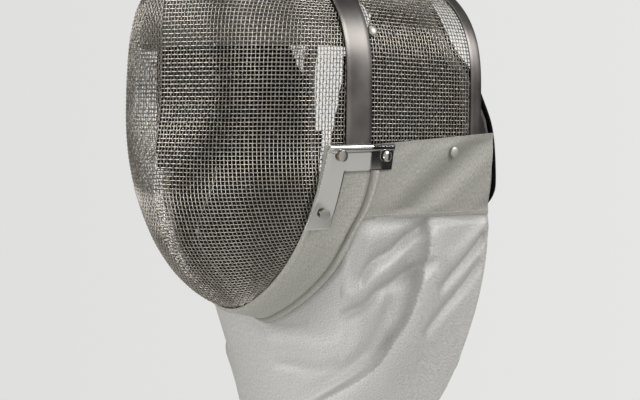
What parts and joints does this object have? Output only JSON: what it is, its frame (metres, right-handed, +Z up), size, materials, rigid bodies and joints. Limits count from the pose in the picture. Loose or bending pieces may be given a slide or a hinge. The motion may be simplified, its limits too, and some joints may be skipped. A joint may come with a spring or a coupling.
{
  "type": "fencing mask",
  "caption": "Sabre fencing mask with a creased wire face bowl, wire crown tunnel, steel bands, metallic cloth bib, inner padding and a tongue behind the head.",
  "frame": {"origin": "the seat under the crown, where the mask rests on the wearer's head, in the mask's middle plane", "axes": "+Z up along the wearer, -Y towards the face, +X towards the wearer's left"},
  "size_m": [0.2086, 0.327, 0.375],
  "materials": {
    "wire": "drawn wire",
    "steel": "satin",
    "cloth": "metallic weave",
    "grey_pad": "matt",
    "black_pad": "matt"
  },
  "bodies": {
    "root": {"front_mesh": "wire", "rear_mesh": "wire", "top_band": "steel", "rear_band": "steel", "bib_trim": "cloth", "bib_flap_left": "cloth", "bib_flap_right": "cloth", "bib": "cloth", "bracket_left": "steel", "bracket_right": "steel", "bracket_rivet_front_left": "steel", "bracket_rivet_rear_left": "steel", "bracket_rivet_lower_left": "steel", "crown_rivet_left": "steel", "flap_rivet_left": "steel", "bracket_rivet_front_right": "steel", "bracket_rivet_rear_right": "steel", "bracket_rivet_lower_right": "steel", "crown_rivet_right": "steel", "flap_rivet_right": "steel", "forehead_pad": "grey_pad", "side_pad_left": "black_pad", "side_pad_right": "black_pad", "tongue_shell": "black_pad", "tongue_pad": "grey_pad", "tongue_rivet": "steel"}
  },
  "joints": []
}
